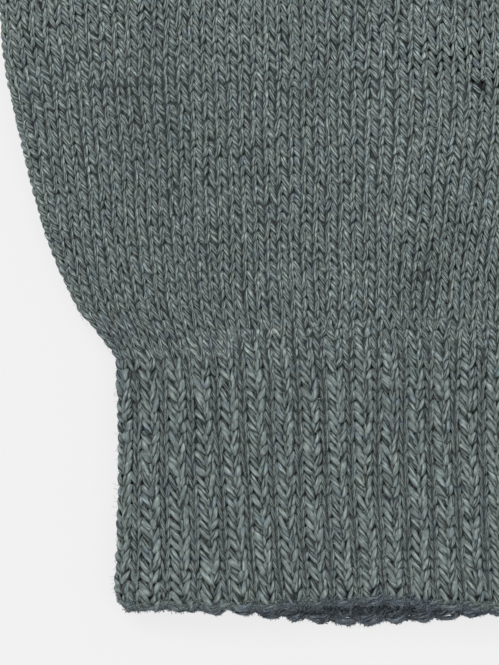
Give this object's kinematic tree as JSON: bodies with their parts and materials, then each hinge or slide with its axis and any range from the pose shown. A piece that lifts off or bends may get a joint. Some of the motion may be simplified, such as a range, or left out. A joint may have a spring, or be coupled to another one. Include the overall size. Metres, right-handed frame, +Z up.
{
  "type": "pair of gloves",
  "caption": "Pair of knitted wool gloves for warmth, lying flat side by side, each with a plain stockinette hand, fingers and thumb and a ribbed cuff.",
  "frame": {"origin": "on the floor at the middle of the pair's footprint", "axes": "+X across the pair from the left glove to the right one, +Y from the cuffs to the fingertips, +Z up from the floor, out of the backs of the hands"},
  "size_m": [0.3318, 0.2312, 0.0085],
  "materials": {
    "plain_knit": "matt grey-green melange wool, knitted in stockinette",
    "rib_knit": "matt grey-green melange wool, knitted in one-by-one rib"
  },
  "bodies": {
    "root": {"left_cuff": "rib_knit", "left_lower_hand": "plain_knit", "left_upper_hand": "plain_knit", "left_little": "plain_knit", "left_ring": "plain_knit", "left_middle": "plain_knit", "left_index": "plain_knit", "left_thumb": "plain_knit", "right_cuff": "rib_knit", "right_lower_hand": "plain_knit", "right_upper_hand": "plain_knit", "right_little": "plain_knit", "right_ring": "plain_knit", "right_middle": "plain_knit", "right_index": "plain_knit", "right_thumb": "plain_knit"}
  },
  "joints": []
}
